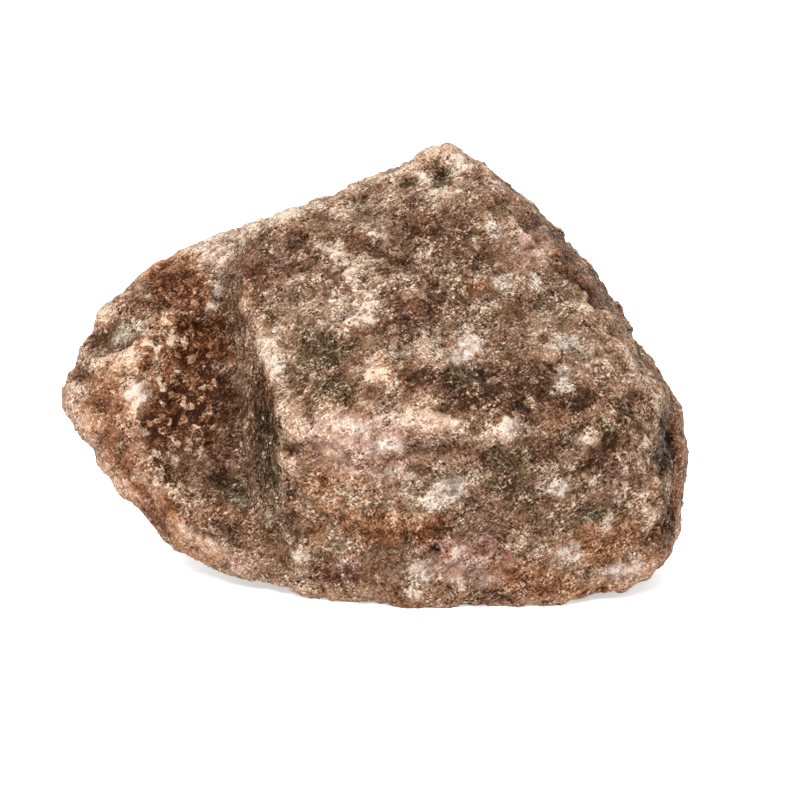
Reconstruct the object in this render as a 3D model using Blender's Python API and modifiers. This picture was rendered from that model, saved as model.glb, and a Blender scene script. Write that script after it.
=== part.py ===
"""Rough rock: one solid lump of coarse crystalline stone, broken by hand from a larger block.

The lump is built the way it broke. Each block is the convex hull of the corners where its fracture
faces meet. The blocks are joined, and flakes that came away are cut out of them. The result is
skinned with one even mesh, its sharp edges are worn down, and its faces are roughened by the facets
and undulations that a fracture leaves. A level cut at the bottom is the face that the rock rests on.

Frame: +X along the rock's length, +Y to its back, +Z up. The origin is on the resting plane, in the
middle of the rock's length and depth. Corners are in millimetres, and the model is in metres.
"""

import bmesh
import bpy
from mathutils import Matrix, Vector, noise

MM = 0.001
SEED = 7  # picks the tilts of the crystal facets

# Skin and wear
SKIN_CELL = 2.2 * MM  # edge of the even mesh that is laid over the joined blocks
WEAR_PASSES = 6  # smoothing passes that round the broken edges
WEAR_STRENGTH = 0.5
WEAR_ALLOWANCE = 1.2 * MM  # lift that makes good what the wear takes off the corners
TRIANGLES = 6400  # triangles of the finished solid

# Fracture faces: across one crystal facet and how steeply it tilts, then the softer undulations
FACETS = ((16.0 * MM, 0.09), (8.0 * MM, 0.12))
UNDULATIONS = ((40.0 * MM, 1.6 * MM), (13.0 * MM, 0.7 * MM))
BED_THICKNESS = 9.0 * MM  # spacing of the beds that the stone splits along
BED_STEP = 0.9 * MM  # height of the step between two beds
BED_WAVE = 30.0 * MM  # distance over which the beds wander
BED_NORMAL = Vector((-0.28, -0.35, 0.9)).normalized()

REST_CUT = 2.6 * MM  # height of the level cut above the lowest point

# The thick block that carries the front faces and the summit
MAIN_CORNERS = (
    # foot of the front face, left to right
    (-21, -35, 2), (9, -43, 0), (46, -41, 0), (68, -33, 3), (77, -26, 6),
    # knee where the upright lower face meets the leaning upper face
    (-25, -41, 53), (14, -50, 57), (33, -51, 50), (61, -45, 51), (78, -35, 40), (78, -34, 10),
    # left arris, which climbs from the knee to the top
    (-31, -24, 70), (-37, -8, 83), (-36, 8, 96),
    # foot of the slope that falls from the left arris to the shoulder
    (-42, 4, 78), (-40, -3, 60), (-38, -9, 40), (-34, -15, 16),
    # top edge and summit
    (-20, 14, 102), (-4, 15, 105), (8, 14, 113), (17, 13, 120), (25, 14, 119), (37, 16, 108),
    # ridge between the front face and the right flank
    (38, 3, 107), (48, -9, 93), (58, -18, 82), (69, -27, 70), (76, -32, 58),
    # outline of the right flank, down to the right end
    (52, 12, 97), (64, 6, 82), (79, -3, 61), (85, -3, 50), (90, 5, 33), (88, 4, 24), (84, -8, 8),
    # back of the block
    (-28, 44, 82), (12, 46, 96), (38, 42, 86), (62, 32, 64), (80, 28, 38),
    (-30, 50, 34), (6, 58, 44), (46, 54, 38), (74, 36, 20),
    (-24, 34, 1), (10, 38, 0), (48, 34, 0), (68, 18, 3),
)  # fmt: skip

# The lower block on the left, whose front face is set back behind the main block's arris
SHOULDER_CORNERS = (
    # the blunt left tip and the crest above it
    (-92, 2, 50), (-86, 6, 61), (-80, 6, 72), (-75, 6, 77), (-69, 10, 80), (-62, 16, 87), (-53, 22, 90),
    (-41, 24, 92), (-33, 14, 98), (-20, 20, 100),
    # lower left edge, which rises clear of the ground
    (-86, 0, 42), (-80, -6, 37), (-74, -8, 30), (-67, -12, 19), (-57, -16, 11), (-47, -22, 5), (-39, -26, 4),
    (-21, -33, 3),
    # blunt ridge down the front face
    (-62, -10, 68), (-66, -16, 50), (-60, -20, 26), (-42, -27, 12),
    # back
    (-78, 28, 52), (-62, 38, 70), (-62, 38, 26), (-45, 42, 80),
    # inside the main block
    (-12, 8, 88), (-10, 8, 40), (-10, -8, 5), (-10, 34, 60),
)  # fmt: skip

# Flakes that came away
FLAKES = {
    # shallow flake off the shoulder's front face, with a floor that faces the main block
    "front_hollow": (
        (-64, -8, 66), (-64, -12, 40), (-51, -15, 27), (-33, -20, 21), (-38, -5, 58), (-44, 6, 86),
        (-68, -50, 66), (-69, -50, 38), (-52, -55, 24), (-26, -60, 18), (-34, -50, 60), (-38, -40, 88),
    ),
    # slab off the right end, which leaves an upright step
    "right_ledge": (
        (80, -40, 46), (79, -40, 8), (100, -40, 6), (100, -40, 48),
        (80, -12, 44), (80, -14, 10), (100, -8, 48), (100, -10, 6),
    ),
    # big shell off the back, low down
    "back_flake": (
        (-10, 62, 66), (34, 62, 70), (60, 52, 44), (24, 70, 6), (-20, 62, 18), (14, 50, 40), (30, 50, 36),
    ),
}  # fmt: skip


def clear_scene():
    for old in list(bpy.data.objects):
        bpy.data.objects.remove(old)


def block(name, corners, collection):
    """A convex block of stone whose fracture faces meet at these corners."""
    mesh = bpy.data.meshes.new(name)
    shape = bmesh.new()
    for corner in corners:
        shape.verts.new(Vector(corner) * MM)
    bmesh.ops.convex_hull(shape, input=shape.verts)
    inside = [vertex for vertex in shape.verts if not vertex.link_faces]
    bmesh.ops.delete(shape, geom=inside, context="VERTS")
    bmesh.ops.recalc_face_normals(shape, faces=shape.faces)
    shape.to_mesh(mesh)
    shape.free()
    made = bpy.data.objects.new(name, mesh)
    collection.objects.link(made)
    return made


def combine(rock, helper, operation):
    """Joins a block to the rock, or cuts a flake out of it, by a Boolean that uses the helper."""
    helper.hide_render = True
    helper.display_type = "WIRE"
    step = rock.modifiers.new(helper.name, "BOOLEAN")
    step.operation = operation
    step.solver = "EXACT"
    step.object = helper


def apply_modifiers(rock):
    graph = bpy.context.evaluated_depsgraph_get()
    shaped = bpy.data.meshes.new_from_object(rock.evaluated_get(graph))
    rock.modifiers.clear()
    rock.data = shaped


def skin_and_wear(rock):
    skin = rock.modifiers.new("skin", "REMESH")
    skin.mode = "VOXEL"
    skin.voxel_size = SKIN_CELL
    wear = rock.modifiers.new("wear", "SMOOTH")
    wear.factor = WEAR_STRENGTH
    wear.iterations = WEAR_PASSES
    apply_modifiers(rock)


def facet_height(point, size, slope):
    """Height of the tilted crystal facet that this point of the fracture lies on."""
    seed = noise.voronoi(point / size)[1][0]
    tilt = noise.noise_vector(seed * 7.3).normalized()
    return slope * tilt.dot(point - seed * size)


def fracture_height(point):
    """How far the broken face stands proud of its block at this point."""
    height = WEAR_ALLOWANCE
    for size, slope in FACETS:
        height += facet_height(point, size, slope)
    for size, lift in UNDULATIONS:
        height += lift * noise.noise(point / size)
    bed = point.dot(BED_NORMAL) / BED_THICKNESS + noise.noise(point / BED_WAVE)
    height += BED_STEP * (bed % 1.0 - 0.5)
    return height


def roughen(rock):
    vertices = rock.data.vertices
    moved = [v.co + v.normal * fracture_height(v.co) for v in vertices]
    for vertex, place in zip(vertices, moved):
        vertex.co = place
    rock.data.update()


def thin_out(rock):
    thin = rock.modifiers.new("thin_out", "DECIMATE")
    thin.ratio = TRIANGLES / (2 * len(rock.data.polygons))
    apply_modifiers(rock)


def cut_level(rock, helpers):
    """Cuts the foot of the rock off level, which leaves one flat face to rest on."""
    top = min(v.co.z for v in rock.data.vertices) + REST_CUT
    reach = 4 * max(rock.dimensions)
    bpy.ops.mesh.primitive_cube_add(size=reach, location=(0, 0, top - reach / 2))
    slab = bpy.context.object
    slab.name = "level_cut"
    bpy.context.collection.objects.unlink(slab)
    helpers.objects.link(slab)
    combine(rock, slab, "DIFFERENCE")
    apply_modifiers(rock)


def stand_on_origin(rock):
    """Moves the mesh so that its box is centred over the origin and stands on the resting plane."""
    places = [v.co for v in rock.data.vertices]
    low = Vector(min(place[axis] for place in places) for axis in range(3))
    high = Vector(max(place[axis] for place in places) for axis in range(3))
    middle = (low + high) / 2
    rock.data.transform(Matrix.Translation((-middle.x, -middle.y, -low.z)))


def stone_material():
    material = bpy.data.materials.new("stone")
    material.use_nodes = True
    surface = material.node_tree.nodes["Principled BSDF"]
    surface.inputs["Base Color"].default_value = (0.27, 0.16, 0.11, 1.0)
    surface.inputs["Roughness"].default_value = 0.8
    surface.inputs["Metallic"].default_value = 0.0
    return material


def main():
    clear_scene()
    noise.seed_set(SEED)
    parts = bpy.data.collections.new("rough_rock")
    helpers = bpy.data.collections.new("blocks_and_flakes")
    for collection in (parts, helpers):
        bpy.context.scene.collection.children.link(collection)

    rock = block("rock", MAIN_CORNERS, parts)
    combine(rock, block("shoulder", SHOULDER_CORNERS, helpers), "UNION")
    for name, corners in FLAKES.items():
        combine(rock, block(name, corners, helpers), "DIFFERENCE")
    skin_and_wear(rock)
    roughen(rock)
    thin_out(rock)
    cut_level(rock, helpers)
    stand_on_origin(rock)

    rock.data.name = "rock"
    rock.data.shade_smooth()
    rock.data.materials.clear()
    rock.data.materials.append(stone_material())


main()
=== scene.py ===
# %% [markdown]
# # A rough rock
#
# The object is one lump of coarse, sugary, reddish-brown stone that was broken out of a larger block.
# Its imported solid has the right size, faces and ledges, but a plain skin. This lesson covers that solid
# with a fine mesh, breaks the mesh up into ledges, crystal facets and grain, lays the mineral patches
# on it, and gives it a stone finish made from nodes.
#
# The solid is loaded first, as a fixed frame. Every place below is worked out from its box, so that
# nothing has to be fitted afterwards.

# %% Load the solid and measure it
import math

import bpy
import numpy as np
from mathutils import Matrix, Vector, noise


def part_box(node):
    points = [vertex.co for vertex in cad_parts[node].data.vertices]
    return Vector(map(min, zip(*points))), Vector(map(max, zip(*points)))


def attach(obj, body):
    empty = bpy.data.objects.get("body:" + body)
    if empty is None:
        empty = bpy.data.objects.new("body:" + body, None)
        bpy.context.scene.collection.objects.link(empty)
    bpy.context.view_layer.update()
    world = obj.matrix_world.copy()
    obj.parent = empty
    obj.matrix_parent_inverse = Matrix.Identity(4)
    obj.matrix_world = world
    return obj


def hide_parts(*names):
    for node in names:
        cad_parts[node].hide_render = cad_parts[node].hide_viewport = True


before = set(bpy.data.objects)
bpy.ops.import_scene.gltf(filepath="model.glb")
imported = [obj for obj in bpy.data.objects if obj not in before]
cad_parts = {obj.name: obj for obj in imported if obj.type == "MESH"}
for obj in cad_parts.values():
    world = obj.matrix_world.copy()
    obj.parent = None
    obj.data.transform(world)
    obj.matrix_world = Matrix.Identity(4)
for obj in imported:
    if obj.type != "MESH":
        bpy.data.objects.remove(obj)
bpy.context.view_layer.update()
low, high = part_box("rock")
size = high - low
MM = 0.001
print("solid, mm:", [round(side / MM, 1) for side in size])


def place(across, back, up):
    """A point given as shares of the rock's length, depth and height."""
    return Vector((low.x + across * size.x, low.y + back * size.y, low.z + up * size.z))


# %% [markdown]
# ## Camera
#
# The rock is seen from slightly above, square to its long side, as a catalogue shows it. A long lens from
# three and a half rock lengths away keeps the perspective gentle.

# %% Camera
CAMERA_RISE = math.radians(12)
CAMERA_DISTANCE = 3.52 * size.x
CAMERA_AIM = place(0.5365, 0.48, 0.406)
LENS = 100  # mm
FILM_WIDTH = 36  # mm

view_back = Vector((0, -math.cos(CAMERA_RISE), math.sin(CAMERA_RISE)))
camera_data = bpy.data.cameras.new("camera")
camera_data.lens = LENS
camera_data.sensor_width = FILM_WIDTH
camera = bpy.data.objects.new("camera", camera_data)
bpy.context.scene.collection.objects.link(camera)
camera.location = CAMERA_AIM + view_back * CAMERA_DISTANCE
camera.rotation_euler = (-view_back).to_track_quat("-Z", "Y").to_euler()
bpy.context.scene.camera = camera
print("camera, mm:", [round(axis / MM) for axis in camera.location])

# %% [markdown]
# ## Floor and light
#
# The rock stands on a white sweep, in a white tent. The tent is the sky: it lights every side, and it is
# bright enough to turn the floor pure white. The floor gives off light too, as a light table does, which
# thins the shadow round the rock's foot. Two softboxes give the rock its modelling. Area lights are used,
# because the bigger they are, the softer the shadow. The key stands in front, above and to the left, and
# the other lights the top edges from behind. The Standard view keeps the whites clean, where the default
# view would grey them.

# %% Floor, softboxes and sky
TENT_LIGHT = 1.1
FLOOR_GLOW = 0.5
FLOOR_SIDE = 30  # metres, so that its edge is never in view
PAPER_WHITE = 0.94
PAPER_ROUGHNESS = 0.9
ROCK_MIDDLE = place(0.5, 0.5, 0.5)

scene = bpy.context.scene
scene.view_settings.view_transform = "Standard"


def softbox(name, across, back, up, width, power):
    """A square area light at this share of the rock's box, turned towards the rock."""
    data = bpy.data.lights.new(name, "AREA")
    data.size = width
    data.energy = power
    lamp = bpy.data.objects.new(name, data)
    scene.collection.objects.link(lamp)
    lamp.location = place(across, back, up)
    lamp.rotation_euler = (ROCK_MIDDLE - lamp.location).to_track_quat("-Z", "Y").to_euler()


softbox("key", -0.6, -5.5, 5.5, width=0.35, power=15)
softbox("top", 1.2, 4.0, 6.5, width=0.5, power=6)

sky = bpy.data.worlds.new("sky")
sky.use_nodes = True
sky.node_tree.nodes["Background"].inputs["Color"].default_value = (1, 1, 1, 1)
sky.node_tree.nodes["Background"].inputs["Strength"].default_value = TENT_LIGHT
scene.world = sky

bpy.ops.mesh.primitive_plane_add(size=FLOOR_SIDE, location=(0, 0, low.z))
floor = bpy.context.object
floor.name = "floor"
paper = bpy.data.materials.new("paper")
paper.use_nodes = True
paper_surface = paper.node_tree.nodes["Principled BSDF"]
paper_surface.inputs["Base Color"].default_value = (PAPER_WHITE,) * 3 + (1,)
paper_surface.inputs["Roughness"].default_value = PAPER_ROUGHNESS
paper_surface.inputs["Emission Color"].default_value = (1, 1, 1, 1)
paper_surface.inputs["Emission Strength"].default_value = FLOOR_GLOW
floor.data.materials.append(paper)

# %% [markdown]
# ## A skin that is fine enough to carve
#
# The solid has a few thousand triangles. Ledges and crystals need points about a millimetre apart, all
# over, and of the same size. A subdivision would keep the solid's uneven triangles, so a voxel remesh
# is used instead: it pours the shape into a grid of small cells and skins the result. A little
# smoothing then takes off the solid's flat triangles, which would show as a gem cut.

# %% Remesh a copy of the solid
SKIN_CELL = 0.95 * MM
SKIN_SMOOTHING = 8
SMOOTHING_STRENGTH = 0.5
WELD_GAP = 0.01 * MM

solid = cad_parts["rock"]
rock = bpy.data.objects.new("rock_surface", solid.data.copy())
scene.collection.objects.link(rock)


def apply_modifiers(piece):
    """Turns what the modifiers show into the piece's own mesh."""
    graph = bpy.context.evaluated_depsgraph_get()
    shaped = bpy.data.meshes.new_from_object(piece.evaluated_get(graph))
    piece.modifiers.clear()
    piece.data = shaped


weld = rock.modifiers.new("weld", "WELD")
weld.merge_threshold = WELD_GAP
skin = rock.modifiers.new("skin", "REMESH")
skin.mode = "VOXEL"
skin.voxel_size = SKIN_CELL
soften = rock.modifiers.new("soften", "SMOOTH")
soften.factor = SMOOTHING_STRENGTH
soften.iterations = SKIN_SMOOTHING
apply_modifiers(rock)
print("skin:", len(rock.data.vertices), "points")

# %% [markdown]
# ## Reading and moving the points
#
# The points are kept in one numpy array, because a hundred thousand of them are moved at once. Noise
# comes from Blender's own mathutils.noise, which works on one point at a time, so a helper runs it over
# the array. The seed is fixed, so that the same rock comes out each time.

# %% Point helpers
SEED = 11

noise.seed_set(SEED)


def read(name):
    """The places ("co") or normals ("normal") of the rock's points, one row for each."""
    values = np.empty(len(rock.data.vertices) * 3)
    rock.data.vertices.foreach_get(name, values)
    return values.reshape(-1, 3)


def write(places):
    """Puts the points in these places, and lets Blender work the normals out again."""
    rock.data.vertices.foreach_set("co", places.ravel())
    rock.data.update()


def push(lift):
    """Moves every point along its normal."""
    write(read("co") + read("normal") * lift[:, None])


def smoothstep(start, end, values):
    """0 up to start, 1 from end on, and an even slope that eases in and out between them."""
    share = np.clip((values - start) / (end - start), 0, 1)
    return share * share * (3 - 2 * share)


def noise_at(points, feature, shift):
    """Smooth noise from -1 to 1, with hills about as wide as the feature. A shift gives other hills."""
    offset = Vector((shift, shift * 1.7, shift * 2.3))
    return np.array([noise.noise(Vector(point) / feature + offset) for point in points])


def neighbour_average(values, rounds):
    """Values averaged with those of the neighbouring points, over and over, which blurs them."""
    edges = np.empty(len(rock.data.edges) * 2, dtype=np.int64)
    rock.data.edges.foreach_get("vertices", edges)
    one, other = edges.reshape(-1, 2).T
    count = np.bincount(one, minlength=len(values)) + np.bincount(other, minlength=len(values))
    for _ in range(rounds):
        total = np.zeros_like(values)
        for axis in range(values.shape[1]):
            total[:, axis] += np.bincount(one, values[other, axis], len(values))
            total[:, axis] += np.bincount(other, values[one, axis], len(values))
        values = total / count[:, None]
    return values


start_points = read("co")
print("skin, mm:", (np.ptp(start_points, axis=0) / MM).round(1))

# %% [markdown]
# ## Ledges
#
# Stone breaks in sheets. Where a sheet ends, it leaves a ledge: a sharp step that fades out away from
# its edge. Each ledge here is a short line on the front face, given as shares of the rock's length and
# height. The side on its left, as one walks along the line, is lifted, and the other side is left low.
# No broken edge is straight, so the points are measured from places that wander a little.

# %% Ledges on the front faces
start_normals = read("normal")
facing_front = smoothstep(0.25, -0.15, start_normals[:, 1])  # 1 on faces that look forward


def stray(shift, finer_shift):
    """How far each point strays, in mm: 1.6 at most in broad bends, and 0.7 in finer ones on them."""
    return 1.6 * noise_at(start_points, 7 * MM, shift) + 0.7 * noise_at(start_points, 2.5 * MM, finer_shift)


front_across = (start_points[:, 0] - low.x) / MM + stray(3, 5)
front_up = (start_points[:, 2] - low.z) / MM + stray(8, 9)
front = np.stack([front_across, front_up], axis=1)


def on_front(across, up):
    """A place on the front view, in millimetres from the box's lower left corner."""
    return np.array([across * size.x, up * size.z]) / MM


def bell(across, up, radius):
    """1 at a place on the front, and fading out round it."""
    gap = np.linalg.norm(front - on_front(across, up), axis=1)
    return np.exp(-((gap / radius) ** 2)) * facing_front


STEP_WIDTH = 0.9  # mm over which a ledge rises
STEP_FADE = 9.0  # mm over which its lift dies away behind the edge
STEP_END = 5  # mm over which it dies away towards its ends


def ledge(line, lift):
    """The step along a line of (across, up) places, in metres of lift at every point of the skin."""
    nearest = np.full(len(front), np.inf)
    side = np.zeros(len(front))
    corners = [on_front(*corner) for corner in line]
    for start, end in zip(corners, corners[1:]):
        along = end - start
        share = np.clip((front - start) @ along / (along @ along), 0, 1)
        gap = front - (start + share[:, None] * along)
        distance = np.hypot(*gap.T)
        left = along[0] * gap[:, 1] - along[1] * gap[:, 0]
        closer = distance < nearest
        nearest = np.where(closer, distance, nearest)
        side = np.where(closer, np.sign(left), side)
    signed = nearest * side
    step = smoothstep(-STEP_WIDTH / 2, STEP_WIDTH / 2, signed)
    past_end = np.minimum(
        np.linalg.norm(front - corners[0], axis=1), np.linalg.norm(front - corners[-1], axis=1)
    )
    end_fade = smoothstep(0, STEP_END, past_end)
    return lift * MM * step * np.exp(-np.maximum(signed, 0) / STEP_FADE) * end_fade * facing_front


LEDGES = (  # the line, and the lift in mm
    # lip across the shoulder: the stone below it stands proud of the strip above
    (((0.18, 0.52), (0.175, 0.575), (0.16, 0.585), (0.12, 0.54), (0.08, 0.52), (0.04, 0.48)), 2.4),
    # rim round the foot of the shoulder's hollow
    (((0.33, 0.13), (0.30, 0.18), (0.27, 0.21), (0.235, 0.21), (0.20, 0.26), (0.16, 0.31)), 0.9),
    # broken edge of the pale layer below the knee
    (((0.645, 0.40), (0.625, 0.45), (0.58, 0.475), (0.53, 0.475)), 1.6),
    # beds across the leaning face
    (((0.46, 0.70), (0.40, 0.665), (0.34, 0.66)), 0.9),
    (((0.50, 0.655), (0.43, 0.62), (0.36, 0.60)), 0.9),
    (((0.76, 0.83), (0.70, 0.775), (0.66, 0.77)), 0.8),
    # edge of the front face at the right end, and the thin flake in front of it
    (((0.925, 0.06), (0.93, 0.2), (0.925, 0.34)), 1.4),
    (((0.905, 0.13), (0.912, 0.2), (0.905, 0.28)), 0.9),
    # ridge between the leaning face and the narrow strip behind it
    (((0.905, 0.51), (0.865, 0.60), (0.82, 0.675), (0.76, 0.765), (0.70, 0.855)), 1.1),
)
lift = np.zeros(len(front))
for line, height in LEDGES:
    lift += ledge(line, height)
push(lift)
print("ledges lift up to", round(lift.max() / MM, 2), "mm")

# %% [markdown]
# ## Worn places
#
# The shoulder's hollow starts with a hard wall in the solid, but on the real stone it starts gently. The
# wall is worn down: its points are moved towards the average of their neighbours.

# %% Wear the hollow's wall down
WEAR_ROUNDS = 90
WORN = (  # across, up, radius in mm
    (0.165, 0.56, 5.0), (0.155, 0.50, 5.0), (0.155, 0.44, 6.0), (0.16, 0.37, 6.0), (0.18, 0.30, 6.0),
    (0.22, 0.25, 5.0),
)  # fmt: skip

worn = np.minimum(sum(bell(*spot) for spot in WORN), 1)[:, None]
write(read("co") * (1 - worn) + neighbour_average(read("co"), WEAR_ROUNDS) * worn)
print("worn:", round(float(worn.mean()), 3), "of the points")

# %% [markdown]
# ## Hollows and lumps
#
# Where a crystal dropped out, it left a pit, and a hard one stands proud as a lump. Both are a bell of
# height that is added to, or taken from, the skin round one place.

# %% Hollows and lumps
LUMPS = (
    # across, up, half width in mm, height in mm
    (0.61, 0.945, 3.6, -2.6),  # hollow under the summit cap
    (0.545, 0.925, 2.6, -1.8),
    (0.61, 0.99, 3.4, 1.4),  # summit cap
    (0.57, 0.935, 2.6, 1.3),
    (0.635, 0.955, 2.2, 1.2),
    (0.59, 0.14, 2.2, -2.0),  # pit low on the front face
    (0.945, 0.35, 3.4, -2.6),  # hollows in the steep right end
    (0.94, 0.41, 2.6, -1.8),
    (0.85, 0.44, 3.4, 1.2),  # dark stone set in the face
    (0.505, 0.54, 4.2, 1.5),  # peach crystal
    (0.065, 0.605, 3.4, 1.8),  # bump on the shoulder's outline
    (0.10, 0.665, 3.0, -1.6),
    (0.13, 0.45, 2.6, 0.9),
    (0.255, 0.785, 6.0, -1.4),  # crest of the shoulder
    (0.36, 0.83, 5.5, 2.4),
    (0.48, 0.885, 7.0, -2.4),  # hollow before the summit
    (0.61, 1.0, 5.0, -0.8),
    (0.00, 0.45, 5.0, -1.4),  # blunt left tip
    (0.04, 0.36, 6.0, 2.2),  # lower left outline
    (0.12, 0.22, 5.0, 1.8),
    (0.09, 0.26, 6.0, 2.0),
    (0.20, 0.12, 6.0, 2.4),
    (0.78, 0.75, 7.0, -1.6),  # outline of the right flank
    (0.86, 0.65, 7.0, -2.4),
    (0.91, 0.56, 6.0, -1.8),
    (0.955, 0.11, 6.0, 1.8),  # lower right corner
)

lift = sum(height * MM * bell(across, up, radius) for across, up, radius, height in LUMPS)
push(lift)
print("lumps:", len(LUMPS))

# %% [markdown]
# ## Strata
#
# In the valley between the two blocks, and at the right end, the stone split across its layers. The
# layers show there as fine upright ribs. Noise that is stretched upwards makes them: the height is
# divided by a few times more than the width before the noise is read. Where it acts is given as oval
# patches with ragged edges, and the same patches serve for the colours later on.

# %% Strata
STRATA = (  # across, up, half width and half height in mm, turn in degrees, strength
    (0.335, 0.36, 6.0, 30.0, 8, 1.0), (0.25, 0.45, 11.0, 26.0, 5, 0.45),
    (0.95, 0.24, 5.0, 20.0, 0, 1.0),
)  # fmt: skip
RIB_WIDTH = 2.4 * MM
RIB_STRETCH = 6.0
RIB_HEIGHT = 0.55 * MM
PATCH_FULL = 0.45  # share of a patch's size inside which it covers fully
PATCH_GONE = 1.35  # share of its size beyond which it covers nothing

# How far a patch's edge frays in and out, as a share of the patch's size
ragged = 0.30 * noise_at(start_points, 5 * MM, 31) + 0.25 * noise_at(start_points, 2.2 * MM, 33)


def patch(across, up, half_wide, half_tall, turn):
    """How much of an oval patch of the front covers each point, from 0 to 1, with a ragged edge."""
    gap = front - on_front(across, up)
    cosine = math.cos(math.radians(turn))
    sine = math.sin(math.radians(turn))
    along = (gap[:, 0] * cosine + gap[:, 1] * sine) / half_wide
    over = (gap[:, 1] * cosine - gap[:, 0] * sine) / half_tall
    return smoothstep(PATCH_GONE, PATCH_FULL, np.hypot(along, over) + ragged) * facing_front


def cover(patches):
    """The patches added together, each with its own strength, up to 1."""
    covered = np.zeros(len(front))
    for across, up, half_wide, half_tall, turn, strength in patches:
        covered += strength * patch(across, up, half_wide, half_tall, turn)
    return np.minimum(covered, 1)


strata = cover(STRATA)
upright = read("co") / (1, 1, RIB_STRETCH)
push(RIB_HEIGHT * strata * noise_at(upright, RIB_WIDTH, 14))
print("strata cover", round(float(strata.mean()), 3))

# %% [markdown]
# ## Crystal facets and grain
#
# Broken crystals show flat facets, each tilted its own way. A Voronoi pattern gives every point its
# nearest crystal centre, and tilting the skin about that centre makes the facet. Three sizes of crystal
# overlap. Fine noise on top is only a trace, or the stone would look like a sponge. Last, points that
# were pushed below the ground are put back on it, because the rock rests on a level face.

# %% Crystal facets and grain
FACETS = ((8.0 * MM, 0.11), (4.2 * MM, 0.12), (2.1 * MM, 0.12))  # crystal size, steepest slope
GRAIN = ((2.6 * MM, 0.07 * MM), (1.3 * MM, 0.07 * MM))  # width of a hill, its height
TILT_PICK = 5.1  # any odd stretch will do, so that neighbours get unlike tilts


def facet_lift(point, crystal, slope):
    """Height of the tilted facet that this point lies on."""
    centre = noise.voronoi(point / crystal)[1][0]
    tilt = noise.noise_vector(centre * TILT_PICK).normalized()
    return slope * tilt.dot(point - centre * crystal)


for crystal, slope in FACETS:
    points = read("co")
    push(np.array([facet_lift(Vector(point), crystal, slope) for point in points]))
for feature, height in GRAIN:
    push(height * noise_at(read("co"), feature, 21))
points = read("co")
points[:, 2] = np.maximum(points[:, 2], low.z)
write(points)
print("skin, mm:", (np.ptp(points, axis=0) / MM).round(1))
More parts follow.
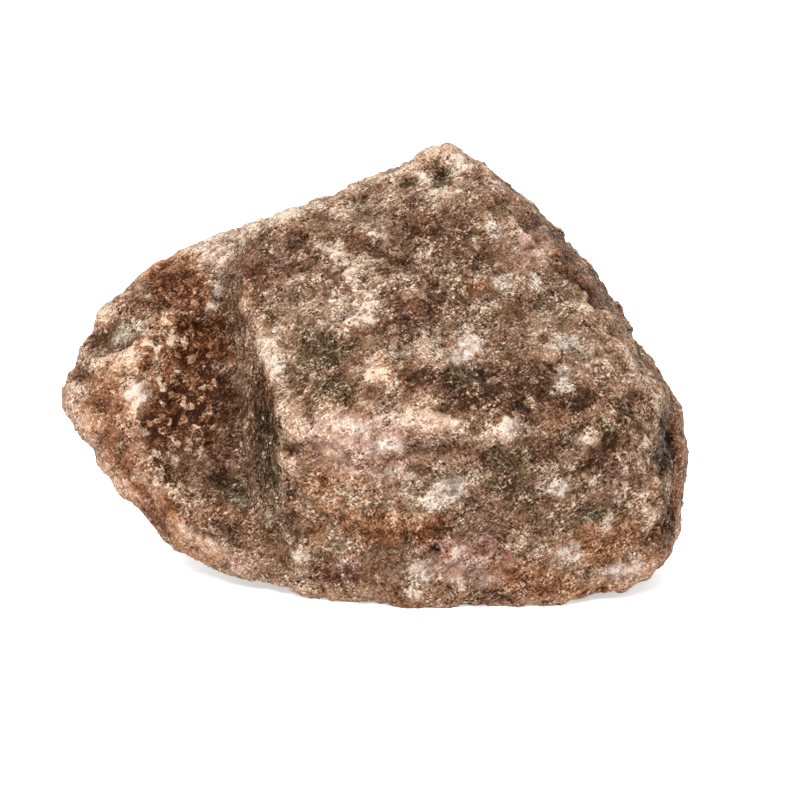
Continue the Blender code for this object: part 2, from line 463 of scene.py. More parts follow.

# %% [markdown]
# ## Where the stone is pale and where it is dark
#
# The stone is a mix of cream and dark brown crystals. Where more of them are cream, the stone looks
# pale, so one number for each point says how pale it is, from -1 to 1. Pale oval patches are added to it
# and dark ones taken off. They are placed on the front by share of the length and height, and sized in
# millimetres. Where the front view can't reach, broad noise does the same for the back. The top is cream
# along its whole edge, and faces that look up are also made paler all over, as painted light from above.
# SPOTTED tells where single pale crystals stand out from the grain.

# %% Pale and dark patches
PALE = (
    # shoulder: tip, rim and single crystals
    (0.03, 0.43, 3.2, 3.0, 0, 0.9), (0.13, 0.45, 3.0, 2.8, 0, 0.7), (0.07, 0.61, 3.0, 3.6, 0, 0.7),
    (0.12, 0.58, 6.5, 1.8, 35, 0.5), (0.11, 0.51, 8.0, 3.0, 15, 0.4), (0.17, 0.57, 2.4, 2.6, 0, 0.6),
    (0.25, 0.74, 6.0, 3.0, -10, 0.6), (0.25, 0.68, 2.0, 2.4, 0, 1.0), (0.24, 0.63, 1.7, 1.5, 0, 1.0),
    (0.30, 0.65, 2.4, 2.4, 0, 0.6), (0.23, 0.55, 2.3, 2.3, 0, 0.6), (0.28, 0.46, 2.0, 2.0, 0, 0.6),
    (0.24, 0.40, 1.7, 2.3, 0, 0.6), (0.12, 0.40, 1.5, 1.5, 0, 0.8), (0.21, 0.14, 3.4, 1.8, -30, 0.7),
    (0.24, 0.12, 2.8, 1.8, -20, 0.6), (0.34, 0.18, 1.6, 3.0, 0, 0.7), (0.39, 0.11, 1.8, 2.2, 0, 0.8),
    (0.39, 0.06, 2.0, 2.0, 0, 0.6), (0.06, 0.38, 4.0, 5.0, 0, 0.2), (0.25, 0.755, 7.0, 3.6, 15, 0.9),
    # cream along the crest, from the shoulder to the summit
    (0.20, 0.73, 7.0, 1.8, 35, 0.8), (0.31, 0.81, 8.0, 1.8, 20, 0.8), (0.38, 0.84, 8.0, 1.6, 15, 0.8),
    (0.46, 0.87, 8.0, 2.0, 20, 0.8), (0.53, 0.92, 7.0, 1.8, 30, 0.7),
    # leaning face: the slanting streak and the pale corner to its left
    (0.43, 0.78, 4.4, 2.2, -20, 0.9), (0.46, 0.75, 5.6, 2.4, -35, 1.0), (0.49, 0.73, 4.6, 1.8, -25, 0.9),
    (0.47, 0.71, 5.0, 2.0, -45, 0.9), (0.48, 0.66, 6.5, 4.0, 0, 0.8), (0.46, 0.63, 7.5, 2.8, 10, 0.6),
    (0.42, 0.62, 5.5, 1.2, 20, 0.7), (0.35, 0.59, 5.0, 3.6, 0, 0.6), (0.35, 0.54, 4.4, 3.6, 0, 0.6),
    (0.36, 0.51, 2.6, 2.8, 0, 0.6), (0.50, 0.82, 2.2, 2.4, 0, 0.6), (0.35, 0.67, 3.2, 1.5, 0, 0.4),
    (0.38, 0.71, 3.6, 1.5, 10, 0.4), (0.35, 0.78, 4.2, 2.0, 0, 0.4),
    # leaning face: the peach crystal and the specks round it
    (0.50, 0.54, 4.2, 3.0, -20, 1.0), (0.52, 0.51, 2.2, 1.8, 0, 0.9), (0.54, 0.55, 1.2, 1.2, 0, 0.9),
    (0.56, 0.59, 5.4, 2.0, 10, 0.4), (0.58, 0.57, 3.6, 2.0, 0, 0.4), (0.55, 0.69, 2.3, 1.8, 0, 0.5),
    (0.57, 0.77, 3.6, 1.8, 0, 0.4), (0.61, 0.73, 2.2, 2.0, 0, 0.6), (0.60, 0.65, 3.8, 1.8, 0, 0.3),
    # summit and right-hand ridge
    (0.61, 0.97, 5.0, 1.8, 0, 0.5), (0.63, 0.95, 1.3, 2.2, 0, 0.9), (0.57, 0.93, 2.2, 1.5, 0, 0.9),
    (0.61, 0.90, 4.2, 1.3, 0, 0.7), (0.53, 0.88, 4.0, 3.0, 0, 0.3), (0.68, 0.82, 3.0, 1.8, 0, 0.7),
    (0.71, 0.79, 4.4, 3.6, 0, 0.4), (0.74, 0.71, 2.0, 1.9, 0, 1.0), (0.69, 0.71, 2.8, 1.9, 0, 0.8),
    (0.63, 0.58, 4.2, 2.4, 20, 1.0), (0.78, 0.59, 4.2, 2.0, -10, 0.9), (0.81, 0.57, 2.6, 1.8, 0, 0.5),
    (0.78, 0.52, 2.5, 2.5, 45, 0.9), (0.90, 0.54, 4.5, 6.0, 20, 0.8), (0.83, 0.53, 6.0, 4.0, 0, 0.3),
    # upright face, right half
    (0.70, 0.43, 4.8, 2.6, 10, 0.55), (0.81, 0.40, 4.8, 2.0, 0, 0.8), (0.79, 0.36, 3.0, 3.0, 0, 0.4),
    (0.60, 0.28, 6.6, 2.8, 40, 1.0), (0.77, 0.29, 3.2, 2.0, 0, 0.8), (0.79, 0.13, 3.8, 3.6, 0, 0.7),
    (0.84, 0.19, 2.2, 1.9, 0, 0.8), (0.87, 0.08, 5.2, 1.7, 10, 0.7), (0.91, 0.21, 1.5, 6.0, 0, 0.5),
    (0.97, 0.21, 2.0, 5.0, 0, 0.4),
    # upright face, left half
    (0.57, 0.09, 2.6, 2.8, -40, 0.9), (0.55, 0.04, 2.8, 1.6, -10, 0.7), (0.64, 0.09, 8.0, 4.4, 0, 0.5),
    (0.62, 0.15, 4.2, 3.6, 0, 0.4), (0.43, 0.44, 12.0, 4.2, 0, 0.5), (0.55, 0.46, 10.5, 4.0, -5, 0.5),
    (0.51, 0.39, 4.4, 3.0, 0, 0.7), (0.47, 0.43, 2.6, 1.3, 0, 0.8), (0.44, 0.35, 4.4, 2.6, 20, 0.6),
    (0.48, 0.32, 3.6, 1.3, 0, 0.5), (0.54, 0.32, 3.8, 2.0, 0, 0.5), (0.48, 0.28, 1.9, 1.6, 0, 0.5),
    (0.45, 0.23, 1.9, 1.3, 0, 0.6), (0.62, 0.44, 4.0, 2.0, -40, 0.4),
    # wider fields, most of them faint
    (0.48, 0.30, 18.0, 17.0, 0, 0.3), (0.40, 0.66, 12.0, 7.0, 0, 0.25), (0.87, 0.60, 8.0, 6.0, -45, 0.35),
    (0.08, 0.50, 8.0, 6.0, 15, 0.3), (0.80, 0.12, 20.0, 6.0, 0, 0.15), (0.44, 0.53, 9.0, 6.0, 0, 0.2),
    (0.28, 0.51, 5.0, 9.0, 0, 0.4), (0.20, 0.48, 7.0, 12.0, 0, 0.25), (0.44, 0.16, 6.0, 5.0, 0, 0.25),
    (0.83, 0.30, 6.0, 5.0, 0, 0.25), (0.74, 0.76, 8.0, 6.0, 0, 0.3),
    (0.60, 0.90, 9.0, 4.0, 0, 0.4), (0.46, 0.15, 6.0, 6.0, 0, 0.4), (0.73, 0.17, 9.0, 5.0, 0, 0.35),
    (0.25, 0.76, 8.0, 4.0, 20, 0.6), (0.44, 0.54, 7.0, 4.0, 0, 0.15),
)  # fmt: skip
DARK = (
    # shoulder and valley
    (0.06, 0.55, 4.4, 1.8, 35, 0.6), (0.18, 0.70, 7.5, 4.6, 0, 0.5), (0.16, 0.64, 3.8, 3.2, 0, 0.6),
    (0.20, 0.60, 8.0, 9.0, 0, 0.35), (0.19, 0.40, 7.4, 6.0, 0, 0.6), (0.23, 0.50, 6.0, 9.0, 0, 0.35),
    (0.25, 0.24, 5.0, 6.0, 0, 0.6), (0.25, 0.38, 7.0, 12.0, 0, 0.4), (0.33, 0.36, 4.0, 14.0, 0, 0.4),
    (0.37, 0.23, 2.0, 6.0, 0, 0.7), (0.38, 0.37, 3.0, 2.4, 0, 0.5), (0.33, 0.46, 3.0, 5.0, 15, 0.6),
    # leaning face
    (0.38, 0.78, 9.0, 2.6, -20, 0.5), (0.36, 0.73, 6.0, 2.0, 0, 0.4), (0.48, 0.79, 6.0, 2.2, 0, 0.4),
    (0.52, 0.76, 5.0, 3.0, 0, 0.4), (0.56, 0.66, 7.5, 4.0, 0, 0.5), (0.52, 0.62, 4.6, 2.6, 0, 0.5),
    (0.42, 0.59, 7.0, 2.6, 15, 0.5), (0.44, 0.55, 7.4, 3.2, 0, 0.7), (0.45, 0.505, 9.0, 2.6, 0, 0.6),
    (0.57, 0.53, 6.0, 2.4, 0, 0.8), (0.64, 0.505, 9.0, 4.2, 0, 0.8), (0.62, 0.56, 4.6, 2.2, 0, 0.5),
    # the last two patches here are painted shade in the hollows under the summit cap
    (0.56, 0.84, 10.0, 5.0, 0, 0.4), (0.60, 0.94, 3.2, 1.5, 0, 1.0), (0.54, 0.92, 1.6, 1.5, 0, 1.0),
    # right half, the strip behind the ridge, and the right end
    # painted shade on the strip behind the ridge, which faces away from the key light
    (0.815, 0.70, 26.0, 2.4, -49, 0.5),
    # the last patch here, and the first one on the next line, are painted shade in the hollows of the right
    # end
    (0.85, 0.43, 3.4, 1.2, 15, 1.0), (0.79, 0.48, 7.4, 2.6, 0, 0.5), (0.94, 0.37, 3.0, 4.0, 0, 1.0),
    (0.95, 0.31, 4.0, 5.4, 0, 0.9), (0.68, 0.36, 7.2, 4.6, 0, 0.6), (0.69, 0.30, 5.6, 2.8, 0, 0.6),
    (0.85, 0.39, 4.0, 2.8, 0, 0.5), (0.83, 0.33, 4.0, 2.8, 0, 0.5), (0.81, 0.23, 4.4, 2.2, 0, 0.5),
    (0.88, 0.48, 4.0, 2.6, 0, 0.4),
    # upright face, left half
    # the last patch here is painted shade in the pit low on the front face
    (0.53, 0.17, 9.0, 3.8, 0, 0.4), (0.58, 0.20, 3.8, 3.2, 0, 0.5), (0.59, 0.14, 1.5, 1.5, 0, 1.0),
    (0.61, 0.23, 2.6, 3.2, 0, 0.6), (0.44, 0.07, 6.4, 2.6, 0, 0.5), (0.57, 0.33, 1.6, 1.4, 0, 0.6),
    (0.47, 0.19, 8.0, 4.4, 0, 0.3),
    # beside the crest and the valley, along the foot, and at the right
    (0.315, 0.72, 5.0, 11.0, -5, 0.55), (0.335, 0.44, 4.0, 12.0, 0, 0.6), (0.27, 0.17, 7.0, 4.0, -20, 0.6),
    (0.16, 0.29, 7.0, 6.0, -40, 0.25), (0.73, 0.04, 10.0, 3.0, 0, 0.6), (0.60, 0.01, 30.0, 2.6, 0, 0.4),
    (0.92, 0.15, 5.0, 6.0, 0, 0.45), (0.17, 0.41, 6.0, 6.0, 0, 0.5), (0.20, 0.14, 8.0, 4.0, -38, 0.3),
    (0.54, 0.03, 7.0, 3.0, 0, 0.6), (0.83, 0.03, 8.0, 3.0, 0, 0.5), (0.63, 0.52, 7.0, 5.0, 0, 0.2),
    (0.74, 0.46, 12.0, 12.0, 0, 0.3), (0.84, 0.42, 8.0, 8.0, 0, 0.25), (0.12, 0.64, 5.0, 3.0, 30, 0.3),
    # wider fields, most of them faint
    (0.62, 0.74, 26.0, 13.0, 0, 0.2), (0.73, 0.50, 14.0, 8.0, 0, 0.45), (0.84, 0.38, 12.0, 8.0, 0, 0.35),
    (0.20, 0.62, 13.0, 15.0, 0, 0.4), (0.22, 0.42, 11.0, 18.0, 0, 0.4), (0.13, 0.32, 8.0, 10.0, 0, 0.2),
    (0.17, 0.12, 13.0, 4.0, -38, 0.3), (0.26, 0.52, 10.0, 16.0, 5, 0.25), (0.93, 0.15, 5.0, 14.0, 0, 0.35),
)  # fmt: skip
SPOTTED = (
    (0.19, 0.45, 12.0, 26.0, 0, 0.9), (0.85, 0.35, 16.0, 20.0, 0, 0.4), (0.55, 0.70, 30.0, 14.0, 0, 0.35),
    (0.70, 0.50, 18.0, 8.0, 0, 0.5),
)  # fmt: skip


def spread(feature, shift, start, end):
    """Broad noise from 0 to 1 for the faces that the front view can't reach."""
    field = noise_at(start_points, feature, shift) + 0.5 * noise_at(start_points, feature / 3, shift + 1)
    return smoothstep(start, end, field) * (1 - facing_front)


TOP_PAINTED_LIGHT = 0.5
BACK_PALENESS = 0.8
BACK_DARKNESS = 0.7

facing_up = smoothstep(0.70, 0.92, start_normals[:, 2])  # 1 on faces that look up
# painted light: faces that look up are made paler, as if lit from above
tone = cover(PALE) - cover(DARK) + TOP_PAINTED_LIGHT * facing_up
tone += BACK_PALENESS * spread(24 * MM, 41, 0.1, 0.6) - BACK_DARKNESS * spread(22 * MM, 42, 0.0, 0.5)
print("tone from", tone.min().round(2), "to", tone.max().round(2), "with mean", tone.mean().round(3))

# %% [markdown]
# ## Where each stain shows
#
# Four stains tint the stone without making it paler or darker. Rose tints the thick crystals of the
# lower face, iron turns some faces rust, and clay turns others olive. Frost marks the places where the
# pale crystals are clean, and so white in place of cream. They are patches of the same kind. The frost's
# feathered edge eats into its patches, so they are widened first. The stone round each of them is a
# little paler too, which is a still wider and weaker copy of the patch.

# %% Stains
ROSE = (
    (0.47, 0.38, 16, 11, 0, 0.9), (0.58, 0.42, 10, 7, 0, 0.6), (0.64, 0.12, 16, 9, 0, 0.9),
    (0.73, 0.78, 7, 6, 0, 0.7), (0.25, 0.735, 6, 3.5, 0, 0.8), (0.09, 0.36, 9, 12, 0, 0.5),
    (0.14, 0.22, 10, 4.5, -40, 0.6), (0.24, 0.11, 12, 4.5, -25, 0.6), (0.87, 0.08, 8, 3, 10, 0.8),
    (0.63, 0.58, 5, 3, 20, 0.7), (0.13, 0.45, 4, 3, 0, 0.8), (0.56, 0.66, 8, 4, 0, 0.6),
    (0.44, 0.08, 8, 4, 0, 0.6),
)  # fmt: skip
IRON = (
    (0.18, 0.70, 10, 6, 0, 1.0), (0.20, 0.48, 14, 26, 0, 0.7), (0.50, 0.19, 14, 6, 0, 0.7),
    (0.82, 0.17, 5, 4, 0, 0.5), (0.75, 0.07, 9, 3, 0, 0.7), (0.41, 0.16, 3, 5, 0, 0.6),
    (0.65, 0.70, 4, 2.2, 0, 1.0), (0.54, 0.52, 1.8, 1.5, 0, 0.9), (0.505, 0.54, 4.5, 3.4, -20, 1.0),
    (0.10, 0.27, 5, 8, -60, 0.7), (0.96, 0.09, 3, 5, 0, 0.9), (0.97, 0.2, 3, 14, 0, 0.5),
    (0.16, 0.17, 10, 5, -40, 0.6), (0.11, 0.51, 9, 4, 15, 0.6), (0.07, 0.61, 4, 5, 0, 0.5),
    (0.08, 0.40, 8, 14, 0, 0.8), (0.42, 0.30, 5, 10, 0, 0.4), (0.90, 0.57, 2.5, 2, 0, 0.8),
    (0.18, 0.16, 16, 7, -38, 0.7), (0.80, 0.14, 14, 8, 0, 0.4), (0.46, 0.28, 12, 10, 0, 0.4),
    (0.60, 0.97, 6, 2, 0, 0.5), (0.58, 0.20, 8, 5, 0, 0.5), (0.815, 0.70, 26, 2.4, -49, 0.5),
    (0.97, 0.30, 5, 14, 0, 1.0), (0.94, 0.08, 8, 6, 0, 1.0), (0.80, 0.03, 20, 3, 4, 0.8),
    (0.86, 0.15, 12, 8, 0, 0.6), (0.70, 0.09, 14, 6, 0, 0.5), (0.22, 0.08, 12, 3, -25, 0.8),
)  # fmt: skip
CLAY = (
    (0.42, 0.57, 8, 6, 0, 0.8), (0.44, 0.50, 8, 3, 0, 0.8), (0.34, 0.33, 5, 17, 0, 0.8),
    (0.69, 0.33, 10, 8, 0, 0.6), (0.63, 0.53, 9, 4, 0, 0.7), (0.85, 0.42, 7, 4, 0, 0.8),
    (0.94, 0.33, 5, 8, 0, 0.8), (0.28, 0.22, 6, 5, 0, 0.6), (0.60, 0.94, 4, 3, 0, 1.0),
    (0.54, 0.92, 2.6, 2.2, 0, 1.0), (0.80, 0.68, 10, 6, -50, 0.5), (0.59, 0.14, 2, 2, 0, 1.0),
    (0.12, 0.59, 7, 2, 35, 0.8), (0.56, 0.80, 10, 5, 0, 0.3), (0.82, 0.22, 6, 4, 0, 0.6),
    (0.62, 0.68, 22, 13, 0, 0.35), (0.75, 0.45, 16, 10, 0, 0.35),
)  # fmt: skip
FROST = (
    (0.60, 0.28, 6.0, 2.6, 40, 1.0), (0.77, 0.29, 2.8, 1.8, 0, 1.0), (0.63, 0.58, 3.8, 2.0, 20, 0.9),
    (0.57, 0.09, 2.6, 2.8, -40, 1.0), (0.74, 0.71, 1.8, 1.7, 0, 0.9), (0.69, 0.71, 2.4, 1.6, 0, 0.7),
    (0.78, 0.59, 3.4, 1.6, -10, 0.8), (0.78, 0.52, 2.2, 2.2, 45, 0.8), (0.70, 0.43, 4.2, 2.2, 10, 0.8),
    (0.25, 0.68, 1.8, 2.2, 0, 0.9), (0.24, 0.63, 1.5, 1.3, 0, 0.9), (0.13, 0.45, 2.8, 2.6, 0, 0.8),
    (0.21, 0.14, 3.0, 1.6, -30, 0.8), (0.79, 0.13, 3.4, 3.2, 0, 0.8), (0.84, 0.19, 2.0, 1.7, 0, 0.8),
    (0.87, 0.08, 4.6, 1.5, 10, 0.8), (0.63, 0.95, 1.2, 2.0, 0, 0.8), (0.57, 0.93, 2.0, 1.3, 0, 0.8),
    (0.35, 0.54, 4.0, 3.2, 0, 0.5), (0.51, 0.39, 4.4, 3.0, 0, 0.5), (0.12, 0.58, 6.0, 1.6, 35, 0.6),
    (0.50, 0.82, 2.0, 2.2, 0, 0.6), (0.68, 0.82, 2.6, 1.6, 0, 0.7), (0.55, 0.04, 2.4, 1.4, -10, 0.8),
    (0.47, 0.43, 2.4, 1.2, 0, 0.7), (0.39, 0.11, 1.6, 2.0, 0, 0.8), (0.81, 0.40, 4.4, 1.8, 0, 0.6),
)  # fmt: skip

FROST_REACH = 1.35  # times the listed size


def widen(patches, times, share):
    """The patches at this many times their size, to a tenth of a mm, and a share of their strength."""
    return [
        (across, up, round(half_wide * times, 1), round(half_tall * times, 1), turn, strength * share)
        for across, up, half_wide, half_tall, turn, strength in patches
    ]


frosted = widen(FROST, FROST_REACH, 1.0)
STAINS = {  # the patches, and for the back: strength, width of its own patches, shift, start and end
    "rose": (ROSE, 0.7, 34 * MM, 44, 0.0, 0.35),
    "iron": (IRON, 0.6, 30 * MM, 47, 0.0, 0.35),
    "clay": (CLAY, 0.45, 28 * MM, 52, 0.0, 0.35),
    "frost": (frosted, 0.7, 18 * MM, 57, 0.3, 0.6),
}
HALO_WIDTH = 2.0
HALO_STRENGTH = 0.32
SPOTS_EVERYWHERE = 0.2


def store(name, amount):
    """Keeps one number for each point on the mesh, where the material can read it by name."""
    attribute = rock.data.attributes.new(name, "FLOAT", "POINT")
    attribute.data.foreach_set("value", amount.astype(np.float32))
    print(name, "has mean", round(float(amount.mean()), 3))


halo = cover(widen(frosted, HALO_WIDTH, HALO_STRENGTH))
store("tone", np.clip(tone + halo, -1, 1))
store("strata", strata)
store("spotted", SPOTS_EVERYWHERE + cover(SPOTTED))
for name, (patches, on_back, feature, shift, start, end) in STAINS.items():
    store(name, np.maximum(cover(patches), on_back * spread(feature, shift, start, end)))

# %% [markdown]
# ## Crevices and edges
#
# Crevices are darkened with painted shade, and thin broken edges are lightened with a painted glow, as if
# light came through them.
# Both come from the same measure: how far a point stands out from the average of its neighbours. A
# narrow average finds the crevices between crystals, and a wide one finds the rock's broken edges.

# %% Measure how far each point stands out
CREVICE_ROUNDS = 14
CREVICE_CONTRAST = 1.2
EDGE_ROUNDS = 110
EDGE_START, EDGE_END = 0.8, 2.1  # mm by which an edge stands out


def stand_out(rounds):
    """How far each point stands out from the average of its neighbours, in mm."""
    return ((read("co") - neighbour_average(read("co"), rounds)) * read("normal")).sum(axis=1) / MM


crevice_measure = stand_out(CREVICE_ROUNDS)
edge_measure = stand_out(EDGE_ROUNDS)
store("crest", np.clip(0.5 + CREVICE_CONTRAST * crevice_measure, 0, 1))
store("edge", smoothstep(EDGE_START, EDGE_END, edge_measure))
print("crevices, mm:", crevice_measure.std().round(3), "edges, mm:", edge_measure.std().round(3))

# %% [markdown]
# ## Writing a material as sums
#
# A node tree is easier to read as a formula. The class below wraps one socket. Adding or multiplying
# two of them makes the Math node, so a mask can be written as 1 - grain * 0.5. Any other node is made
# by add, which takes the node's type, its settings, and the values or links of its sockets.


# %% A socket that does arithmetic
class Wire:
    """One value, vector or colour that flows through a material's nodes."""

    def __init__(self, tree, socket):
        self.tree = tree
        self.socket = socket

    def add(self, kind, settings=None, inputs=None, output=0):
        """A node of this kind, with its settings made first and then its sockets' values or links."""
        made = self.tree.nodes.new(kind)
        for name, value in (settings or {}).items():
            if name == "stops":
                self.set_stops(made.color_ramp, value)
            else:
                setattr(made, name, value)
        for name, value in (inputs or {}).items():
            if isinstance(value, Wire):
                self.tree.links.new(value.socket, made.inputs[name])
            else:
                made.inputs[name].default_value = value
        return Wire(self.tree, made.outputs[output])

    @staticmethod
    def set_stops(ramp, stops):
        """Gives a colour ramp these stops, each with its position and colour."""
        while len(ramp.elements) < len(stops):
            ramp.elements.new(0.5)
        for element, (position, colour) in zip(ramp.elements, stops):
            element.position = position
            element.color = colour

    def calc(self, operation, first, second):
        return self.add("ShaderNodeMath", {"operation": operation}, {0: first, 1: second})

    def __add__(self, other):
        return self.calc("ADD", self, other)

    def __radd__(self, other):
        return self.calc("ADD", other, self)

    def __sub__(self, other):
        return self.calc("SUBTRACT", self, other)

    def __rsub__(self, other):
        return self.calc("SUBTRACT", other, self)

    def __mul__(self, other):
        return self.calc("MULTIPLY", self, other)

    def __rmul__(self, other):
        return self.calc("MULTIPLY", other, self)

    def between(self, start, end):
        """0 where the value is below start, 1 above end, and smooth in between."""
        settings = {"interpolation_type": "SMOOTHSTEP"}
        return self.add("ShaderNodeMapRange", settings, {"Value": self, "From Min": start, "From Max": end})

    def over(self, under, mask):
        """This colour laid over another one, where the mask is 1."""
        inputs = {0: mask, 6: under, 7: self}
        return self.add("ShaderNodeMix", {"data_type": "RGBA"}, inputs, output=2)

    def ramp(self, *stops):
        """The value turned into a colour, dark to light, through evenly spaced stops."""
        last = len(stops) - 1
        spaced = [(number / last, colour) for number, colour in enumerate(stops)]
        return self.add("ShaderNodeValToRGB", {"stops": spaced}, {"Fac": self})


def paint(red, green, blue, share=1.0):
    """A screen colour, 0 to 255, as the light values that a shader wants, turned down to this share."""
    light = [((c / 255 + 0.055) / 1.055) ** 2.4 * share for c in (red, green, blue)]
    return (*light, 1.0)


print("mid brown as light:", [round(part, 3) for part in paint(145, 113, 92)[:3]])

# %% [markdown]
# ## Crystals of many sizes
#
# The stone is a crowd of small crystals, and each is a little darker or lighter than the next. Voronoi
# cells give each crystal one random tone. Several sizes are made, because real grain is never one size,
# and the coordinates are bent by noise first, so that no cell keeps a straight side. Two of the fine
# sets are stretched into shards that slant both ways. Plain noise makes what is softer than a crystal:
# the ribs of the strata, the clouds of darker and lighter stone, and the feathers that fray a patch.

# %% Crystals and noise
stone = bpy.data.materials.new("stone_crystal")
stone.use_nodes = True
tree = stone.node_tree
surface = tree.nodes["Principled BSDF"]
where = Wire(tree, None).add("ShaderNodeTexCoord", output=3)


def noise_node(feature, detail, rough, vector, output=0):
    """Noise with features about this wide: its value, or its colour as output 1."""
    inputs = {"Vector": vector, "Scale": 1 / feature, "Detail": detail, "Roughness": rough}
    return where.add("ShaderNodeTexNoise", None, inputs, output)


def bend(vector, feature, distance):
    """The coordinates pushed about by noise, so that straight cell sides turn ragged."""
    wander = noise_node(feature, 2.0, 0.5, vector, output=1)
    inputs = {0: wander, 1: (distance,) * 3, 2: vector}
    return where.add("ShaderNodeVectorMath", {"operation": "MULTIPLY_ADD"}, inputs)


def stretch(vector, degrees, times):
    """The coordinates stretched along a slanting line of the front, which turns grains into streaks."""
    inputs = {"Vector": vector, "Rotation": (0, math.radians(-degrees), 0), "Scale": (times, 1, 1)}
    return where.add("ShaderNodeMapping", {"vector_type": "TEXTURE"}, inputs)


def crystals(crystal, vector):
    """A random colour for each crystal of this size."""
    return where.add("ShaderNodeTexVoronoi", None, {"Vector": vector, "Scale": 1 / crystal}, output=1)


def red_of(colour):
    """The random tone of each crystal, from 0 to 1."""
    return where.add("ShaderNodeSeparateColor", None, {"Color": colour}, output=0)


def green_of(colour):
    """A second random number for each crystal, which is used for its tint."""
    return where.add("ShaderNodeSeparateColor", None, {"Color": colour}, output=1)


def amount_of(name):
    """The number that was stored on the points under this name."""
    return where.add("ShaderNodeAttribute", {"attribute_name": name}, output=2)


ragged_where = bend(where, 1.4 * MM, 0.3 * MM)
rib_where = stretch(bend(where, 9 * MM, 3 * MM), degrees=88, times=7.0)
fine = red_of(crystals(0.40 * MM, ragged_where))
rising = red_of(crystals(0.42 * MM, stretch(ragged_where, degrees=35, times=2.4)))
falling = red_of(crystals(0.38 * MM, stretch(ragged_where, degrees=-50, times=2.2)))
middle = crystals(0.95 * MM, ragged_where)
coarse = crystals(2.7 * MM, bend(where, 1.6 * MM, 1.3 * MM))
specks = crystals(1.8 * MM, bend(where, 1.2 * MM, 0.8 * MM))
ribs = noise_node(1.2 * MM, 3.0, 0.65, rib_where)
clouds = noise_node(10 * MM, 6.0, 0.66, bend(where, 8 * MM, 6 * MM))
broken_where = bend(where, 5 * MM, 4 * MM)
feathers = noise_node(2.2 * MM, 4.0, 0.7, stretch(broken_where, degrees=35, times=2.0))
liveliness = noise_node(5 * MM, 3.0, 0.6, broken_where).between(0.35, 0.65)
print("nodes so far:", len(tree.nodes))

# %% [markdown]
# ## One grain out of many
#
# On the real stone the sizes lie mixed, so they are added into one number, which is near nought on
# middling stone and higher on pale crystals. The finest crystals count most. The palest shards are
# pushed further as painted glints, and the darkest as pits. The clouds are added too, and the ribs where
# the strata show. Then the grain is made livelier in one place than in the next, with the rose crystals
# calmest. Where the stone is spotted, some crystals of a middle size are much paler than the rest.

# %% Mix the crystals into one grain
FINE, RISING, FALLING, MIDDLE, COARSE = 0.38, 0.26, 0.22, 0.2, 0.12  # how much each set counts
CLOUDS, RIBS = 0.3, 1.1
PAINTED_GLINT, PIT = 0.14, 0.12
GRAIN_MEAN = 0.73  # taken off, so that the grain swings evenly about nought
CALMEST, LIVELY_GAIN, ROSE_CALM = 0.68, 0.8, 0.32
SPOT_PALENESS = 0.5

grain = fine * FINE + rising * RISING + falling * FALLING
grain = grain + red_of(middle) * MIDDLE + red_of(coarse) * COARSE
# painted glints: the palest rising shards are made paler still, as highlights
grain = grain + rising.between(0.84, 0.88) * PAINTED_GLINT - falling.between(0.16, 0.12) * PIT
grain = grain + clouds * CLOUDS + (ribs - 0.5) * amount_of("strata") * RIBS - GRAIN_MEAN
grain = grain * (liveliness * LIVELY_GAIN + CALMEST - amount_of("rose") * ROSE_CALM)
spots = red_of(specks).between(0.80, 0.82) * amount_of("spotted") * SPOT_PALENESS
print("nodes in the grain:", len(tree.nodes))

# %% [markdown]
# ## Colours
#
# Brown is the stone itself, and each stain is a mineral of another colour. Every one has a run of
# colours from dark to light, because its crystals differ in tone. Under a white tent every paint looks
# lighter than it is, so each screen colour is turned down by the share of light that the studio adds.
# A stain isn't an even coat. A patch's amount and a coarser noise are added and then cut, which leaves
# ragged islands of one tint in the other.

# %% Runs of colour
STUDIO_GAIN = 2.58
BROWN = ((52, 30, 17), (88, 59, 39), (122, 91, 69), (157, 126, 102), (197, 170, 145), (246, 227, 205))
PINK = ((60, 32, 20), (108, 70, 53), (156, 114, 96), (196, 157, 140), (224, 195, 180), (248, 231, 220))
RUST = ((60, 28, 14), (106, 60, 36), (150, 96, 64), (186, 131, 95), (216, 172, 138), (246, 220, 193))
WHITE = ((86, 62, 48), (122, 96, 80), (162, 139, 123), (202, 182, 167), (230, 215, 203), (250, 242, 235))
OLIVE = ((38, 27, 15), (70, 52, 33), (104, 85, 61), (144, 123, 95), (192, 172, 142), (238, 225, 200))


def under_light(run):
    """A run of screen colours as the light values that the shader wants under the studio's light."""
    return [paint(*colour, share=1 / STUDIO_GAIN) for colour in run]


CRUMB_FILL, CRUMB_RAGGEDNESS, CRUMB_CUT = 1.3, 2.2, 1.55


def crumble(name, feature, strength):
    """A stain's patch broken up into ragged islands about as wide as the feature."""
    crumbs = noise_node(feature, 4.0, 0.65, ragged_where) * CRUMB_RAGGEDNESS
    patchy = amount_of(name) * CRUMB_FILL + crumbs - CRUMB_CUT
    return patchy.between(-0.15, 0.5) * strength


print("stops in a run of colour:", len(BROWN))

# %% [markdown]
# ## Layers of colour
#
# The level that picks from a run is the grain plus the tone of the place, so a pale place is one where
# most crystals are cream. Feathers multiply the tone first, which frays each patch. Broken edges get a
# painted glow, which makes them paler and a little rustier. The stains are laid over the brown one after
# another, which keeps the grain in all of them, and single crystals take a little rose or rust wherever
# they lie.

# %% Lay the colours over each other
MIDDLE_LEVEL = 0.39
TONE_SHARE = 0.36
EDGE_PAINTED_GLOW, EDGE_GLOW_RUST = 0.24, 0.35
FRAY, FRAY_CUT = 3.0, 0.5
FROST_FRAY, FROST_CUT, FROST_COVER = 6.0, 2.1, 0.5
COARSE_TINT, SPECK_TINT = 0.2, 0.25

edge = amount_of("edge")
frayed_tone = amount_of("tone") * (feathers * FRAY - FRAY_CUT)
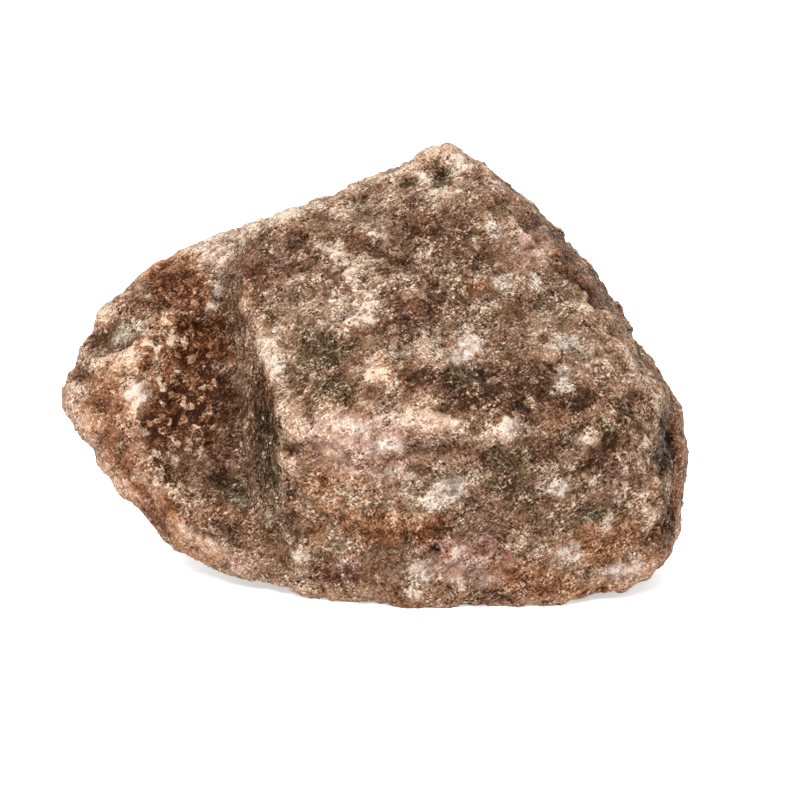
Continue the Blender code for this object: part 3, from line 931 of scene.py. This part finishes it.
# painted glow: broken edges are lifted towards the pale end of each run
level = grain + spots + frayed_tone * TONE_SHARE + edge * EDGE_PAINTED_GLOW + MIDDLE_LEVEL
tint = green_of(coarse)
small_tint = green_of(specks)
rose = crumble("rose", 4.0 * MM, 0.75)
rose = rose + tint.between(0.3, 0.1) * COARSE_TINT + small_tint.between(0.3, 0.1) * SPECK_TINT
iron = crumble("iron", 3.0 * MM, 0.7)
iron = iron + tint.between(0.7, 0.9) * COARSE_TINT + small_tint.between(0.7, 0.9) * SPECK_TINT
clay = crumble("clay", 3.0 * MM, 0.75)
frost = (amount_of("frost") * (feathers * FROST_FRAY - FROST_CUT)).between(0.1, 0.9) * FROST_COVER
# the last layer is the rust tint of the painted edge glow
layers = ((PINK, rose), (RUST, iron), (OLIVE, clay), (WHITE, frost), (RUST, edge * EDGE_GLOW_RUST))
colour = level.ramp(*under_light(BROWN))
for run, cover_share in layers:
    colour = level.ramp(*under_light(run)).over(colour, cover_share)
print("layers over the brown:", len(layers))

# %% [markdown]
# ## Finish
#
# Crevices are darkened with painted shade. Each crystal's facet leans its own way, so the normal is tilted
# by the crystal's random colour, which makes the small glints of broken crystal. A bump from the grain
# gives the rest.
# Broken stone has little shine, so the specular level is low.

# %% Finish of the stone
CREVICE_SHADE = 0.55
CREVICE_SATURATION = 1.1
CREVICE_END = 0.6  # crest value from which a point isn't in a crevice
LEAN = 0.5
BUMP_STRENGTH = 0.6
BUMP_HEIGHT = 0.25 * MM
ROUGHEST, SMOOTHER_BY = 0.72, 0.35
SHINE = 0.04

# painted shade: the colour is darkened and made more saturated where the crest measure marks a crevice
crest = amount_of("crest")
inputs = {"Saturation": CREVICE_SATURATION, "Value": CREVICE_SHADE, "Color": colour}
dark = colour.add("ShaderNodeHueSaturation", None, inputs)
colour = colour.over(dark, crest.between(0.0, CREVICE_END))

normal = where.add("ShaderNodeNewGeometry", output=1)
inputs = {0: middle, 1: (LEAN,) * 3, 2: (-LEAN / 2,) * 3}
lean = where.add("ShaderNodeVectorMath", {"operation": "MULTIPLY_ADD"}, inputs)
leaning = where.add("ShaderNodeVectorMath", {"operation": "ADD"}, {0: normal, 1: lean})
leaning = where.add("ShaderNodeVectorMath", {"operation": "NORMALIZE"}, {0: leaning})
inputs = {"Strength": BUMP_STRENGTH, "Distance": BUMP_HEIGHT, "Height": grain, "Normal": leaning}
bumped = where.add("ShaderNodeBump", None, inputs)
tree.links.new(colour.socket, surface.inputs["Base Color"])
tree.links.new(bumped.socket, surface.inputs["Normal"])
tree.links.new((ROUGHEST - fine * SMOOTHER_BY).socket, surface.inputs["Roughness"])
surface.inputs["Specular IOR Level"].default_value = SHINE
rock.data.materials.clear()
rock.data.materials.append(stone)
rock.data.shade_smooth()
print("nodes in the stone:", len(tree.nodes))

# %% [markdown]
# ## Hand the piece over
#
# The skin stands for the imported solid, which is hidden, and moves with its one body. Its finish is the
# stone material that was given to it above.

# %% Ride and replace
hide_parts("rock")
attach(rock, "root")
